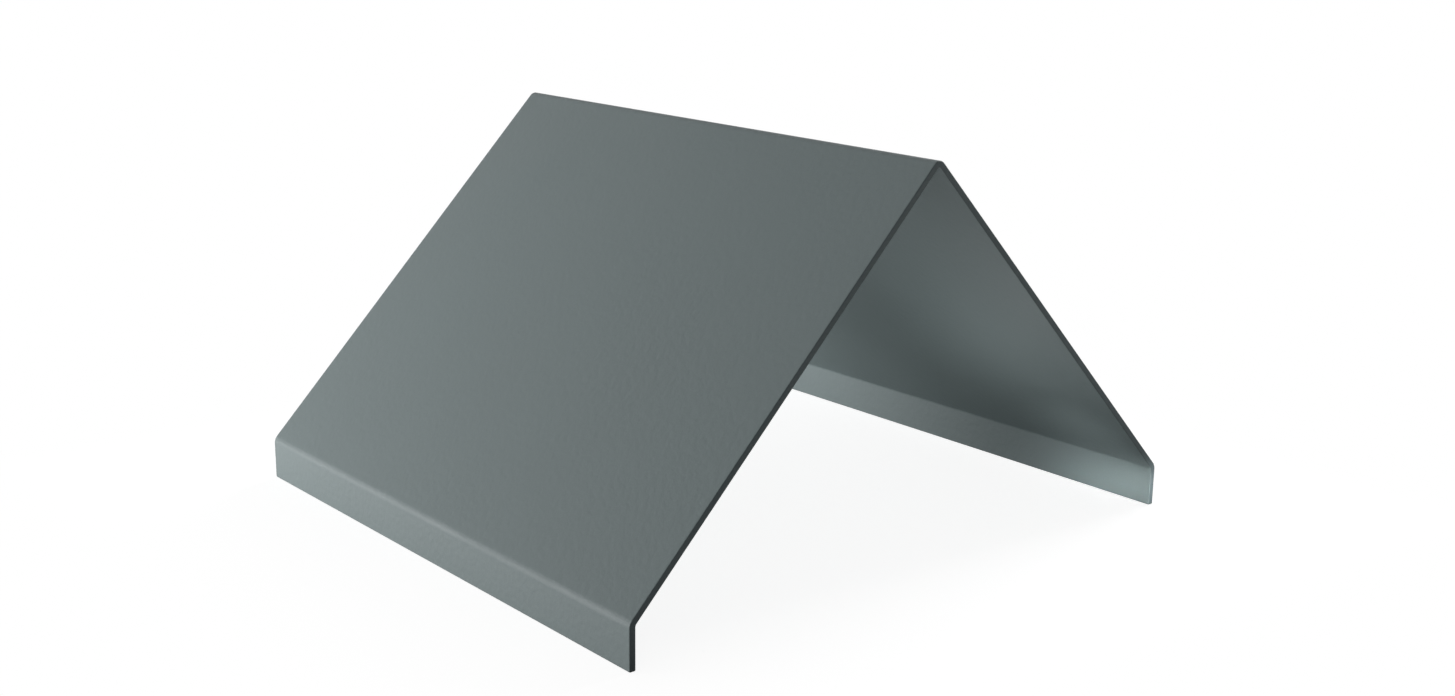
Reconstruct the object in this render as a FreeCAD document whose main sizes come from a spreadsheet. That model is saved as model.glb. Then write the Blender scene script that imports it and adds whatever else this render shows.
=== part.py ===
import FreeCAD, Part
import math
import os
import Sketcher

# Corner flashing: a ridge capping folded from one flat sheet of coated metal.
#
# Two flat wings meet in a rounded ridge bend. The far edge of each wing is turned down into a short
# upright lip, and the piece stands on the lower edges of its two lips. It is open at both ends and
# underneath.
#
# Frame, in millimetres: X across the ridge, Y along it, +Z up. The origin is in the middle of the
# base, on the plane that the lips stand on.

NODE = "folded_sheet"

# Driving dimensions. The wings and lips are measured on the outside, to the sharp corners where their
# faces would meet if the bends had no radius, so two wings and two lips add up to the width of the
# flat strip. The lips hang plumb, whatever the angle at the ridge.
DIMENSIONS = {
    "wing_width": 115.0,  # outside, from lip corner to ridge corner
    "lip_depth": 10.0,  # outside, from lip corner to lower edge
    "run_length": 150.0,  # along the ridge
    "ridge_angle": 88.0,  # degrees between the wings
    "sheet_thickness": 1.5,
    "ridge_bend_radius": 0.5,  # inside
    "lip_bend_radius": 1.2,  # inside
    "edge_break": 0.25,  # rounding that deburring and coating leave on the cut edges
}

# The flats of the section, in the order that its outline passes them: over the ridge on the outside,
# from right to left, and back on the inside.
FLATS = (
    "right lip outside",
    "right wing outside",
    "left wing outside",
    "left lip outside",
    "left lip edge",
    "left lip inside",
    "left wing inside",
    "right wing inside",
    "right lip inside",
    "right lip edge",
)

# The bends, each with the dimension that gives its inside radius and the flats that it joins.
BENDS = {
    "left": ("lip_bend_radius", "left lip", "left wing"),
    "ridge": ("ridge_bend_radius", "left wing", "right wing"),
    "right": ("lip_bend_radius", "right wing", "right lip"),
}

# A sketch counts the start, end and centre of an element from 1, and its own two axes down from -1.
START, END, CENTRE = range(1, 4)
POINT = START
ALONG_BASE, UP_MIDDLE = range(-1, -3, -1)


def make_sizes(doc):
    """The spreadsheet, with a named cell for each driving dimension."""
    sizes = doc.addObject("Spreadsheet::Sheet", "Sizes")
    for row, (alias, value) in enumerate(DIMENSIONS.items(), start=1):
        sizes.set(f"A{row}", alias)
        sizes.set(f"B{row}", str(value))
        sizes.setAlias(f"B{row}", alias)
    doc.recompute()
    return sizes


def section_corners(sizes):
    """The sharp corners of the folded section, one at the start of each flat."""
    half_angle = math.radians(sizes.ridge_angle / 2)
    outer_x = sizes.wing_width * math.sin(half_angle)
    inner_x = outer_x - sizes.sheet_thickness
    outer_ridge = sizes.lip_depth + sizes.wing_width * math.cos(half_angle)
    inner_ridge = outer_ridge - sizes.sheet_thickness / math.sin(half_angle)
    inner_fold = inner_ridge - inner_x / math.tan(half_angle)
    outside = [
        (outer_x, 0),
        (outer_x, sizes.lip_depth),
        (0, outer_ridge),
        (-outer_x, sizes.lip_depth),
        (-outer_x, 0),
    ]
    inside = [(-inner_x, 0), (-inner_x, inner_fold), (0, inner_ridge), (inner_x, inner_fold), (inner_x, 0)]
    return [FreeCAD.Vector(x, z, 0) for x, z in outside + inside]


class SectionSketch:
    """The folded section, drawn sharp, bent at its corners and held by named dimensions."""

    def __init__(self, body, sizes):
        self.sizes = sizes
        self.sketch = body.newObject("Sketcher::SketchObject", "FoldedSection")
        plane = next(item for item in body.Origin.OriginFeatures if item.Role == "XZ_Plane")
        self.sketch.AttachmentSupport = [(plane, "")]
        self.sketch.MapMode = "FlatFace"
        self.draw_flats()
        self.make_bends()
        self.hold_in_place()
        self.set_dimensions()

    def hold(self, kind, *where):
        """Add one constraint and give back its index."""
        return self.sketch.addConstraint(Sketcher.Constraint(kind, *where))

    def dimension(self, name, kind, *where, formula=None):
        """A constraint whose value follows the spreadsheet cell of its name, or a formula of cells."""
        formula = formula or f"Sizes.{name}"
        self.sketch.renameConstraint(self.hold(kind, *where), name)
        self.sketch.setExpression(f"Constraints.{name}", formula)

    def draw_flats(self):
        """The closed outline with sharp corners, one line for each flat."""
        corners = section_corners(self.sizes)
        ends = corners[1:] + corners[:1]
        self.flat = {}
        for name, start, end in zip(FLATS, corners, ends):
            self.flat[name] = self.sketch.addGeometry(Part.LineSegment(start, end), False)
        for index, name in enumerate(FLATS):
            self.hold("Coincident", self.flat[FLATS[index - 1]], END, self.flat[name], START)

    def make_bends(self):
        """Round each bent corner, inside and outside, and keep the sharp corner as a point."""
        self.bend = {}
        self.corner = {}
        for place, (radius_name, before, after) in BENDS.items():
            inner = getattr(self.sizes, radius_name)
            outer = inner + self.sizes.sheet_thickness
            # The outline passes the bends from right to left outside, and from left to right inside.
            self.round_corner(place, "outside", after, outer)
            self.round_corner(place, "inside", before, inner)

    def round_corner(self, place, face, flat_before, radius):
        """Put the arc of one bend after one flat."""
        arc = self.sketch.GeometryCount
        self.sketch.fillet(self.flat[f"{flat_before} {face}"], END, radius, True, True)
        self.bend[place, face] = arc
        self.corner[place, face] = arc + 1

    def hold_in_place(self):
        """Plumb lips that stand on the base line, wings alike on both sides, arcs that share centres."""
        for side in ("left", "right"):
            for face in ("outside", "inside"):
                self.hold("Vertical", self.flat[f"{side} lip {face}"])
            for position in (START, END):
                self.hold("PointOnObject", self.flat[f"{side} lip edge"], position, ALONG_BASE)
        self.hold("PointOnObject", self.corner["ridge", "outside"], POINT, UP_MIDDLE)
        left, right = self.corner["left", "outside"], self.corner["right", "outside"]
        self.hold("Symmetric", left, POINT, right, POINT, UP_MIDDLE)
        for place in BENDS:
            outside, inside = self.bend[place, "outside"], self.bend[place, "inside"]
            self.hold("Coincident", inside, CENTRE, outside, CENTRE)

    def set_dimensions(self):
        """The dimensions that a bending shop would read off the section."""
        sizes = self.sizes
        ridge, fold = self.corner["ridge", "outside"], self.corner["right", "outside"]
        self.dimension("wing_width", "Distance", ridge, POINT, fold, POINT, sizes.wing_width)
        lip = self.flat["right lip outside"]
        self.dimension("lip_depth", "DistanceY", lip, START, fold, POINT, sizes.lip_depth)
        left, right = self.flat["left wing outside"], self.flat["right wing outside"]
        angle = math.radians(sizes.ridge_angle)
        self.dimension("ridge_angle", "Angle", left, START, right, END, angle)
        for place, (radius_name, *_) in BENDS.items():
            inner = getattr(sizes, radius_name)
            outer = inner + sizes.sheet_thickness
            formula = f"Sizes.{radius_name}"
            self.dimension(f"{place}_inside", "Radius", self.bend[place, "inside"], inner, formula=formula)
            formula += " + Sizes.sheet_thickness"
            self.dimension(f"{place}_outside", "Radius", self.bend[place, "outside"], outer, formula=formula)


def cut_edges(solid, run_length):
    """Names of the solid's edges that the shears cut: round both end faces and along the lips."""
    tolerance = 1e-6
    names = []
    for number, edge in enumerate(solid.Edges, start=1):
        box = edge.BoundBox
        on_end = box.YLength < tolerance and abs(abs(box.Center.y) - run_length / 2) < tolerance
        on_base = abs(box.ZMax) < tolerance
        if on_end or on_base:
            names.append(f"Edge{number}")
    return names


def make_folded_sheet(doc, sizes):
    """The whole piece: the folded section run along the ridge, with its cut edges rounded."""
    body = doc.addObject("PartDesign::Body", "FoldedSheet")
    body.Label = NODE
    section = SectionSketch(body, sizes).sketch

    run = body.newObject("PartDesign::Pad", "Run")
    run.Profile = section
    run.SideType = "Symmetric"
    run.setExpression("Length", "Sizes.run_length")
    doc.recompute()

    edges = body.newObject("PartDesign::Fillet", "BrokenEdges")
    edges.Base = (run, cut_edges(run.Shape, sizes.run_length))
    edges.setExpression("Radius", "Sizes.edge_break")
    body.Tip = edges
    doc.recompute()
    return body, section


def check(doc, body, section):
    """Stop if any object failed, the section can still move, or the piece isn't one sound solid."""
    failed = [item.Name for item in doc.Objects if {"Invalid", "Error"} & set(item.State)]
    if failed:
        raise RuntimeError(f"failed to compute: {failed}")
    if not section.FullyConstrained:
        raise RuntimeError("the section isn't fully held by its dimensions")
    if body.Shape.isNull() or not body.Shape.isValid() or len(body.Shape.Solids) != 1:
        raise RuntimeError(f"{body.Label} isn't one sound solid")


def main():
    doc = FreeCAD.newDocument("CornerFlashing")
    sizes = make_sizes(doc)
    body, section = make_folded_sheet(doc, sizes)
    check(doc, body, section)
    os.makedirs("parts", exist_ok=True)
    body.Shape.exportStep(f"parts/{body.Label}.step")
    box = body.Shape.optimalBoundingBox()
    print(f"{body.Label}: {box.XLength:.2f} x {box.YLength:.2f} x {box.ZLength:.2f} mm")
    print(f"volume {body.Shape.Volume / 1000:.2f} cm3")


main()
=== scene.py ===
import math

import bpy
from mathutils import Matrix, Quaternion, Vector


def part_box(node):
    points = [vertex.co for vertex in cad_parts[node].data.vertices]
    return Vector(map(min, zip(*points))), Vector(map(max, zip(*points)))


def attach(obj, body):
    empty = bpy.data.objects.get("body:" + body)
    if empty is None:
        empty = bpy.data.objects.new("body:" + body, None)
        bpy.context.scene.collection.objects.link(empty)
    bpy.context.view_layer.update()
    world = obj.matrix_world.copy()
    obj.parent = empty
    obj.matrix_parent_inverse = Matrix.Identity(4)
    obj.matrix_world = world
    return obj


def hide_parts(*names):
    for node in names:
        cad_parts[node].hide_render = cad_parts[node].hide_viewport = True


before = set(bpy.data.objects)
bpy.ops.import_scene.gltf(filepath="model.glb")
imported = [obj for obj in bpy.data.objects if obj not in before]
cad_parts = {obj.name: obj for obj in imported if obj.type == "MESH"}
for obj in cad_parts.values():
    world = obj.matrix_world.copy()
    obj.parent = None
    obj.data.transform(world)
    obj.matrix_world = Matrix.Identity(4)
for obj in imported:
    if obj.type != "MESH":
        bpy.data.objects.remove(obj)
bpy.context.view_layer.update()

# Corner flashing: one folded sheet of powder-coated metal, on a white studio floor.

MM = 0.001
NODE = "folded_sheet"
PIECE = "coated_sheet"

# Sizes read from the solid's box.
LOW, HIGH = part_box(NODE)
RUN_LENGTH = HIGH.y - LOW.y
HALF_WIDTH = (HIGH.x - LOW.x) / 2

# Sizes that the box doesn't state, as in the part's own source. The bend radii are inside ones.
SHEET_THICKNESS = 1.5 * MM
LIP_DEPTH = 10.0 * MM
RIDGE_ANGLE = math.radians(88.0)
RIDGE_BEND_RADIUS = 0.5 * MM
LIP_BEND_RADIUS = 1.2 * MM
EDGE_BREAK = 0.25 * MM

# A wing leans by half the ridge angle from the upright plane through the ridge.
HALF_ANGLE = RIDGE_ANGLE / 2
WING_WIDTH = HALF_WIDTH / math.sin(HALF_ANGLE)

# How finely the mesh rounds its bends and its cut edges, and the least angle that counts as an edge.
BEND_STEPS = 20
EDGE_STEPS = 3
EDGE_ANGLE = math.radians(50.0)

# How strongly a large face, rather than a narrow one beside it, sets the shading along their border.
LARGE_FACE_WEIGHT = 100

# The coat, in linear colour: its darker and lighter drifts, a bend lighter from wear and a painted highlight,
# and a cut edge darkened with painted shade.
COAT_DEEP = (0.129, 0.162, 0.164, 1.0)
COAT_PALE = (0.157, 0.194, 0.196, 1.0)
COAT_WORN_AND_SHEEN = (0.2, 0.235, 0.238, 1.0)
CUT_EDGE_SHADE = (0.055, 0.074, 0.077, 1.0)

# How rough the coat is on the average, and how strongly its surface mirrors.
COAT_ROUGHNESS = 0.6
COAT_GLOSS = 0.42

# The sizes of the coat's patterns, in millimetres.
DRIFT_SIZE = 38.0
PEEL_SIZE = 1.5
GRAIN_SIZE = 0.28
RAGGED_SIZE = 0.9

# The coat's usual shade, from 0 for deep to 1 for pale, and how strongly the patterns change it.
MIDDLE_SHADE = 0.5
DRIFT_SHADE = 1.2
GRAIN_SHADE = 1.8
# A bend's lighter colour is partly wear and partly a painted highlight.
WORN_AND_SHEEN_SHADE = 0.15

# How strongly the patterns change the coat's roughness.
DRIFT_ROUGHNESS = 0.25
GRAIN_ROUGHNESS = 0.4
RUBBED_ROUGHNESS = 0.04

# The coat's relief: orange peel with a share of grain.
RELIEF_STRENGTH = 0.9
RELIEF_DEPTH = 0.11 * MM
PEEL_SHARE = 0.8

# A bend's wear and painted highlight fade between these distances past the end of its arc, in millimetres.
WORN_AND_SHEEN_CORE = -0.9
WORN_AND_SHEEN_RIM = 0.7

# How fully the middle of a bend carries its wear and painted highlight, on the average of its ragged patches.
WORN_AND_SHEEN_COVER = 0.85

# The painted shade on a cut edge fades into the coat between these distances from the cut, along a ragged
# line, in millimetres.
CUT_CORE = 0.04
CUT_RIM = 0.16
CUT_RAGGEDNESS = 0.12

# The studio's colours, how far its floor reaches each way in metres, and the level of its even light.
WHITE = (1.0, 1.0, 1.0, 1.0)
PALE_GREY = (0.8, 0.8, 0.8, 1.0)
FLOOR_REACH = 6.0
WORLD_LEVEL = 0.17

# The floor shows shadow under and beside the piece, less and less between these distances from it.
SHADOW_CORE = -20 * MM
SHADOW_RIM = 60 * MM

# The share of its light that the floor takes from the lamps there, and how bright it is without them.
SHADOW_SHARE = 0.5
SHADOW_BRIGHTNESS = 0.88

# The camera that the outlines in the photograph give.
CAMERA_TARGET = Vector((5.8 * MM, 0.0, 35.68 * MM))
CAMERA_AZIMUTH = math.radians(-39.68)
CAMERA_ELEVATION = math.radians(14.42)
CAMERA_ROLL = math.radians(0.63)
CAMERA_DISTANCE = 449.0 * MM
CAMERA_LENS = 45.05
CAMERA_SENSOR = 36.0


class Wire:
    """A node's output socket, on which arithmetic reads as plain Python."""

    def __init__(self, graph, socket):
        self.graph = graph
        self.socket = socket

    def maths(self, operation, *terms):
        """A Math node of one operation on the terms in their order, or on this wire alone."""
        return self.graph.node("ShaderNodeMath", {"operation": operation}, dict(enumerate(terms or (self,))))

    def __add__(self, other):
        return self.maths("ADD", self, other)

    def __radd__(self, other):
        return self.maths("ADD", other, self)

    def __sub__(self, other):
        return self.maths("SUBTRACT", self, other)

    def __rsub__(self, other):
        return self.maths("SUBTRACT", other, self)

    def __mul__(self, other):
        return self.maths("MULTIPLY", self, other)

    def __rmul__(self, other):
        return self.maths("MULTIPLY", other, self)

    def __truediv__(self, other):
        return self.maths("DIVIDE", self, other)

    def __rtruediv__(self, other):
        return self.maths("DIVIDE", other, self)

    def __abs__(self):
        return self.maths("ABSOLUTE")

    def at_least(self, other):
        """This value, or the other where that is larger."""
        return self.maths("MAXIMUM", self, other)

    def at_most(self, other):
        """This value, or the other where that is smaller."""
        return self.maths("MINIMUM", self, other)

    def held(self, low=0.0, high=1.0):
        """This value, held between two others."""
        return self.at_least(low).at_most(high)


class Graph:
    """A node tree that is filled one node at a time."""

    def __init__(self, tree):
        self.tree = tree
        tree.nodes.clear()

    def node(self, kind, settings=None, inputs=None, outputs=(0,)):
        """Add a node: its settings, then a value or a wire for each input. Gives a wire for each output."""
        node = self.tree.nodes.new(kind)
        for name, value in (settings or {}).items():
            setattr(node, name, value)
        for name, value in (inputs or {}).items():
            if isinstance(value, Wire):
                self.tree.links.new(value.socket, node.inputs[name])
            else:
                node.inputs[name].default_value = value
        wires = [Wire(self, node.outputs[name]) for name in outputs]
        return wires[0] if len(wires) == 1 else wires

    def rise(self, value, start, end):
        """0 before start and 1 after end, with a smooth step between them."""
        settings = {"interpolation_type": "SMOOTHSTEP"}
        return self.node("ShaderNodeMapRange", settings, {"Value": value, "From Min": start, "From Max": end})

    def blend(self, amount, first, second):
        """The colour first where amount is 0, and second where it is 1."""
        # The colour sockets go by number, because sockets for other data share their names.
        colour_a, colour_b, colour_result = 6, 7, 2
        inputs = {"Factor": amount, colour_a: first, colour_b: second}
        return self.node("ShaderNodeMix", {"data_type": "RGBA"}, inputs, (colour_result,))

    def layered(self, amount, under, over):
        """The surface under where amount is 0, and over where it is 1."""
        return self.node("ShaderNodeMixShader", inputs={"Fac": amount, 1: under, 2: over})

    def noise(self, place, size, detail, roughness=0.5):
        """Cloudy noise, as much above 0 as below, with clouds of about the given size."""
        inputs = {"Vector": place, "Scale": 1 / size, "Detail": detail, "Roughness": roughness}
        from_0_to_1 = self.node("ShaderNodeTexNoise", inputs=inputs)
        return from_0_to_1 - 0.5

    def object_place(self):
        """The place on the object, in metres, as one wire."""
        return self.node("ShaderNodeTexCoord", outputs=("Object",))

    def scaled(self, place, times):
        """A place with its X, Y and Z multiplied by a number."""
        return self.node("ShaderNodeVectorMath", {"operation": "SCALE"}, {0: place, "Scale": times})

    def axes(self, place):
        """The X, Y and Z of a place."""
        return self.node("ShaderNodeSeparateXYZ", inputs={0: place}, outputs=("X", "Y", "Z"))


def new_material(name):
    """An empty material and the graph to fill it with."""
    material = bpy.data.materials.new(name)
    material.use_nodes = True
    return material, Graph(material.node_tree)


def on_bend(graph, aside, height, corner, inner_radius, half_bend):
    """1 at the middle of a bend's outside and 0 on the flats beside it, for a place in millimetres."""
    corner_aside, corner_height = corner
    # The bend's outside starts and ends this far from the sharp corner that it rounds off.
    reach = (inner_radius + SHEET_THICKNESS) * math.tan(half_bend) / MM
    past_aside = aside - corner_aside / MM
    past_height = height - corner_height / MM
    from_corner = (past_aside * past_aside + past_height * past_height).maths("SQRT")
    return 1 - graph.rise(from_corner - reach, WORN_AND_SHEEN_CORE, WORN_AND_SHEEN_RIM)


def on_bends(graph, across, height):
    """1 at the middle of the outside of the ridge bend and of both lip bends, and 0 on the flats."""
    aside = abs(across)
    ridge = (0.0, LIP_DEPTH + WING_WIDTH * math.cos(HALF_ANGLE))
    lip_top = (HALF_WIDTH, LIP_DEPTH)
    on_ridge = on_bend(graph, aside, height, ridge, RIDGE_BEND_RADIUS, math.pi / 2 - HALF_ANGLE)
    on_lips = on_bend(graph, aside, height, lip_top, LIP_BEND_RADIUS, HALF_ANGLE / 2)
    return on_ridge + on_lips


def powder_coat():
    """Satin grey powder coat: orange peel and grain, bends lighter from wear and a painted highlight, cut
    edges darkened with painted shade.
    """
    material, graph = new_material("satin_powder_coat")
    in_mm = graph.scaled(graph.object_place(), 1 / MM)
    across, along, height = graph.axes(in_mm)
    drift = graph.noise(in_mm, DRIFT_SIZE, detail=3.0)
    peel = graph.noise(in_mm, PEEL_SIZE, detail=1.0)
    grain = graph.noise(in_mm, GRAIN_SIZE, detail=2.0, roughness=0.6)
    ragged = graph.noise(in_mm, RAGGED_SIZE, detail=3.0, roughness=0.7)

    # The bends' mask: partly wear, partly a painted highlight along the bends.
    worn_and_sheen = on_bends(graph, across, height) * (WORN_AND_SHEEN_COVER + ragged)
    from_cut = (RUN_LENGTH / 2 / MM - abs(along)).at_most(height)
    # Painted shade: the cut ends and the lips' lower edges drawn darker than the coat.
    cut_shade = 1 - graph.rise(from_cut + CUT_RAGGEDNESS * ragged, CUT_CORE, CUT_RIM)

    shade = MIDDLE_SHADE + DRIFT_SHADE * drift + GRAIN_SHADE * grain
    coat = graph.blend(shade.held(), COAT_DEEP, COAT_PALE)
    # The bends lightened by wear and a painted highlight.
    coat_with_wear_and_sheen = graph.blend(WORN_AND_SHEEN_SHADE * worn_and_sheen, coat, COAT_WORN_AND_SHEEN)
    uneven = DRIFT_ROUGHNESS * drift + GRAIN_ROUGHNESS * grain + RUBBED_ROUGHNESS * worn_and_sheen
    relief_height = PEEL_SHARE * peel + (1 - PEEL_SHARE) * grain
    relief = {"Strength": RELIEF_STRENGTH, "Distance": RELIEF_DEPTH, "Height": relief_height}
    coated = {
        "Base Color": graph.blend(cut_shade, coat_with_wear_and_sheen, CUT_EDGE_SHADE),
        "Roughness": (COAT_ROUGHNESS + uneven).held(),
        "Specular IOR Level": COAT_GLOSS,
        "Normal": graph.node("ShaderNodeBump", inputs=relief),
    }
    surface = graph.node("ShaderNodeBsdfPrincipled", inputs=coated)
    graph.node("ShaderNodeOutputMaterial", inputs={"Surface": surface}, outputs=())
    return material


def section_corner(size, step):
    """Where a corner of the section's middle line is: the ridge at step 0, lip tops at 1, lip feet at 2."""
    # The widths and depths are outside ones, and the middle line runs half a sheet inside them.
    half_sheet = size["Sheet Thickness"] / 2
    sine = size["Half Angle"].maths("SINE")
    cosine = size["Half Angle"].maths("COSINE")
    slope = 1 / size["Half Angle"].maths("TANGENT")
    half_width = size["Wing Width"] * sine - half_sheet
    ridge_height = size["Lip Depth"] + size["Wing Width"] * cosine - half_sheet / sine
    below_ridge = abs(step).at_most(1) * half_width * slope
    at_foot = (abs(step) - 1).at_least(0)
    return step.held(-1, 1) * half_width, (ridge_height - below_ridge) * (1 - at_foot)


def folding_tree(material):
    """The node tree that folds the sheet: its section's middle line, bent at three corners, made solid."""
    sizes = {
        "Wing Width": WING_WIDTH,
        "Lip Depth": LIP_DEPTH,
        "Run Length": RUN_LENGTH,
        "Half Angle": HALF_ANGLE,
        "Sheet Thickness": SHEET_THICKNESS,
        "Ridge Bend Radius": RIDGE_BEND_RADIUS,
        "Lip Bend Radius": LIP_BEND_RADIUS,
        "Bend Steps": BEND_STEPS,
    }
    tree = bpy.data.node_groups.new("sheet_folder", "GeometryNodeTree")
    tree.is_modifier = True
    for name, value in sizes.items():
        kind = "NodeSocketInt" if isinstance(value, int) else "NodeSocketFloat"
        tree.interface.new_socket(name, in_out="INPUT", socket_type=kind)
    tree.interface.new_socket("Folded Sheet", in_out="OUTPUT", socket_type="NodeSocketGeometry")
    graph = Graph(tree)
    size = dict(zip(sizes, graph.node("NodeGroupInput", outputs=tuple(sizes))))

    # Five corners in a row, from the left lip's lower edge over the ridge to the right lip's.
    corner_count = 5
    row = graph.node("GeometryNodeMeshLine", inputs={"Count": corner_count})
    step = graph.node("GeometryNodeInputIndex") - corner_count // 2
    across, height = section_corner(size, step)
    corner = graph.node("ShaderNodeCombineXYZ", inputs={"X": across, "Z": height})
    corners = graph.node("GeometryNodeSetPosition", inputs={"Geometry": row, "Position": corner})
    sharp = graph.node("GeometryNodeMeshToCurve", inputs={"Mesh": corners})

    lip_share = abs(step).at_most(1)
    inner_radius = size["Ridge Bend Radius"] * (1 - lip_share) + size["Lip Bend Radius"] * lip_share
    middle_radius = inner_radius + size["Sheet Thickness"] / 2
    bends = {"Curve": sharp, "Radius": middle_radius, "Count": size["Bend Steps"]}
    bent = graph.node("GeometryNodeFilletCurve", {"mode": "POLY"}, bends)
    ahead = {"Curve": bent, "Normal": (0.0, 1.0, 0.0)}
    section = graph.node("GeometryNodeSetCurveNormal", {"mode": "FREE"}, ahead)

    strip_size = {"Width": size["Run Length"], "Height": size["Sheet Thickness"]}
    strip = graph.node("GeometryNodeCurvePrimitiveQuadrilateral", inputs=strip_size)
    sweep = {"Curve": section, "Profile Curve": strip, "Fill Caps": True}
    solid = graph.node("GeometryNodeCurveToMesh", inputs=sweep)
    whole = graph.node("GeometryNodeRealizeInstances", inputs={"Geometry": solid})
    coated = graph.node("GeometryNodeSetMaterial", inputs={"Geometry": whole, "Material": material})
    graph.node("NodeGroupOutput", inputs={"Folded Sheet": coated}, outputs=())
    return tree, sizes


def folded_sheet(material):
    """The sheet as one closed mesh: folded by the node tree, then its cut edges rounded."""
    blank = bpy.data.objects.new("blank", bpy.data.meshes.new("blank"))
    bpy.context.scene.collection.objects.link(blank)
    tree, sizes = folding_tree(material)
    fold = blank.modifiers.new("fold", "NODES")
    fold.node_group = tree
    for item in tree.interface.items_tree:
        if item.in_out == "INPUT":
            fold[item.identifier] = sizes[item.name]
    breaks = blank.modifiers.new("broken edges", "BEVEL")
    breaks.width = EDGE_BREAK
    breaks.segments = EDGE_STEPS
    breaks.limit_method = "ANGLE"
    breaks.angle_limit = EDGE_ANGLE
    shading = blank.modifiers.new("flat wings", "WEIGHTED_NORMAL")
    shading.weight = LARGE_FACE_WEIGHT
    depsgraph = bpy.context.evaluated_depsgraph_get()
    mesh = bpy.data.meshes.new_from_object(blank.evaluated_get(depsgraph), depsgraph=depsgraph)
    bpy.data.objects.remove(blank)
    mesh.name = PIECE
    mesh.shade_smooth()
    piece = bpy.data.objects.new(PIECE, mesh)
    bpy.context.scene.collection.objects.link(piece)
    return piece


def ray_kinds(graph):
    """1 for rays from the camera, and 1 for rays off gloss or through glass."""
    kinds = ("Is Camera Ray", "Is Glossy Ray", "Is Transmission Ray")
    camera, glossy, through = graph.node("ShaderNodeLightPath", outputs=kinds)
    return camera, glossy.at_least(through)


def studio_floor():
    """A wide pale floor, white to the camera, that keeps a faint shadow under and beside the piece."""
    material, graph = new_material("white_floor")
    across, along, _ = graph.axes(graph.object_place())
    from_piece = (abs(across) - HALF_WIDTH).at_least(abs(along) - RUN_LENGTH / 2)
    clear = graph.rise(from_piece, SHADOW_CORE, SHADOW_RIM)
    camera, mirrored = ray_kinds(graph)
    matt = graph.node("ShaderNodeBsdfDiffuse", inputs={"Color": PALE_GREY})
    white = graph.node("ShaderNodeEmission", inputs={"Color": WHITE, "Strength": 1.0})
    in_shadow = {"Color": WHITE, "Strength": SHADOW_BRIGHTNESS / (1 - SHADOW_SHARE)}
    dimmed = graph.node("ShaderNodeEmission", inputs=in_shadow)
    near_piece = graph.layered(1 - SHADOW_SHARE, matt, dimmed)
    seen = graph.layered(clear, near_piece, white)
    surface = graph.layered(camera.at_least(mirrored * clear), matt, seen)
    graph.node("ShaderNodeOutputMaterial", inputs={"Surface": surface}, outputs=())

    mesh = bpy.data.meshes.new("studio_floor")
    corners = [(x * FLOOR_REACH, y * FLOOR_REACH, 0.0) for x, y in ((-1, -1), (1, -1), (1, 1), (-1, 1))]
    mesh.from_pydata(corners, [], [(0, 1, 2, 3)])
    mesh.materials.append(material)
    floor = bpy.data.objects.new("studio_floor", mesh)
    bpy.context.scene.collection.objects.link(floor)


def studio_world():
    """White to the camera, and a soft even light on everything."""
    world = bpy.data.worlds.new("studio_world")
    world.use_nodes = True
    graph = Graph(world.node_tree)
    camera, mirrored = ray_kinds(graph)
    strength = WORLD_LEVEL + camera.at_least(mirrored) * (1 - WORLD_LEVEL)
    sky = graph.node("ShaderNodeBackground", inputs={"Color": WHITE, "Strength": strength})
    graph.node("ShaderNodeOutputWorld", inputs={"Surface": sky}, outputs=())
    bpy.context.scene.world = world


def softbox(name, place, aim, size, watts, spread=180.0, lights=None):
    """A rectangular soft lamp that faces a point, all in metres. It lights all, or one collection."""
    lamp = bpy.data.lights.new(name, "AREA")
    lamp.shape = "RECTANGLE"
    lamp.size, lamp.size_y = size
    lamp.energy = watts
    lamp.spread = math.radians(spread)
    holder = bpy.data.objects.new(name, lamp)
    holder.location = place
    holder.visible_camera = False
    holder.rotation_mode = "QUATERNION"
    holder.rotation_quaternion = (Vector(aim) - Vector(place)).to_track_quat("-Z", "Y")
    holder.light_linking.receiver_collection = lights
    bpy.context.scene.collection.objects.link(holder)


def room_lamps():
    """Low soft strips on the left, and weak fills on the right and behind."""
    middle = (0.0, 0.0, HIGH.z / 2)
    left_lip = (-HALF_WIDTH, 0.05, LIP_DEPTH)
    softbox("far_strip", place=(-0.6, 0.35, 0.02), aim=middle, size=(0.4, 0.04), watts=2.8)
    softbox("near_strip", place=(-0.25, 0.2, 0.01), aim=left_lip, size=(0.2, 0.02), watts=0.29)
    softbox("right_fill", place=(0.6, 0.1, 0.35), aim=middle, size=(0.5, 0.4), watts=3.3)
    softbox("back_fill", place=(0.1, 0.8, 0.3), aim=middle, size=(0.5, 0.4), watts=0.6)


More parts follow.
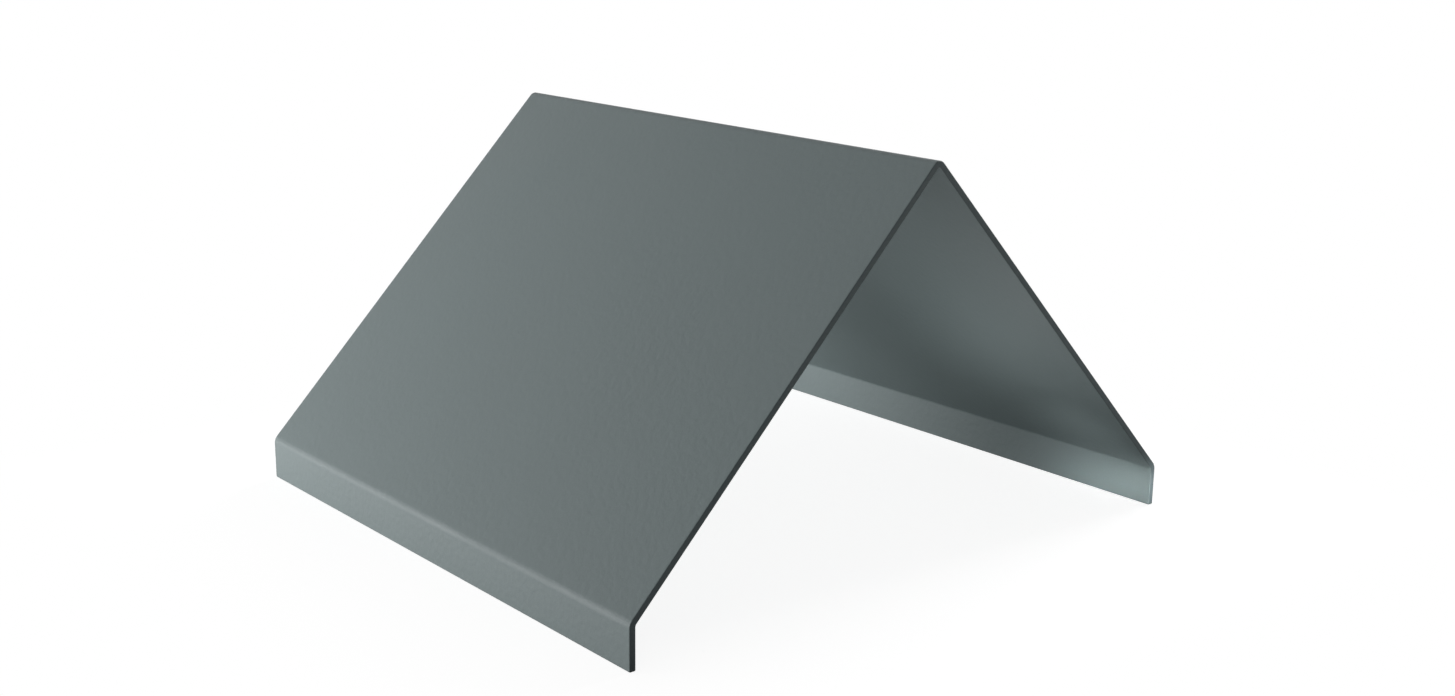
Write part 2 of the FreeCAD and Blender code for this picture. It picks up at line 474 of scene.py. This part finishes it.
def inside_lamps(piece):
    """Small lamps, for the piece alone, that light its wings from beneath and its right lip's inner face."""
    inside = bpy.data.collections.new("lit_inside")
    inside.objects.link(piece)

    beneath = 0.003
    overhead = 0.08
    wide = {"size": (0.08, 0.045), "spread": 170.0, "lights": inside}
    for name, along, watts in (("near_glow", -0.05, 0.0225), ("far_glow", 0.05, 0.008)):
        softbox(name, place=(0.0, along, beneath), aim=(0.0, along, overhead), watts=watts, **wide)

    lip_face = HALF_WIDTH - SHEET_THICKNESS
    lip_height = 0.004
    # Each one's name, place, the point along the lip that it faces, its watts and its spread.
    spots = (
        ("lip_end", (0.055, -0.13, 0.012), -0.072, 0.0015, 14.0),
        ("lip_near", (0.03, -0.07, 0.02), -0.058, 0.0011, 55.0),
        ("lip_far", (0.02, 0.17, 0.05), 0.018, 0.0075, 40.0),
    )
    small = {"size": (0.015, 0.008), "lights": inside}
    for name, place, along, watts, spread in spots:
        softbox(name, place, aim=(lip_face, along, lip_height), watts=watts, spread=spread, **small)


def place_camera():
    """The camera where the photograph's was, aimed at the middle of its frame."""
    level = math.cos(CAMERA_ELEVATION)
    lift = math.sin(CAMERA_ELEVATION)
    back = Vector((math.sin(CAMERA_AZIMUTH) * level, -math.cos(CAMERA_AZIMUTH) * level, lift))
    data = bpy.data.cameras.new("camera")
    data.lens = CAMERA_LENS
    data.sensor_width = CAMERA_SENSOR
    data.clip_start = 10 * MM
    camera = bpy.data.objects.new("camera", data)
    camera.location = CAMERA_TARGET + back * CAMERA_DISTANCE
    camera.rotation_mode = "QUATERNION"
    roll = Quaternion((0.0, 0.0, 1.0), CAMERA_ROLL)
    camera.rotation_quaternion = (-back).to_track_quat("-Z", "Y") @ roll
    bpy.context.scene.collection.objects.link(camera)
    bpy.context.scene.camera = camera


sheet = folded_sheet(powder_coat())
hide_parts(NODE)
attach(sheet, "root")

studio_floor()
studio_world()
room_lamps()
inside_lamps(sheet)
place_camera()
bpy.context.scene.view_settings.view_transform = "Standard"
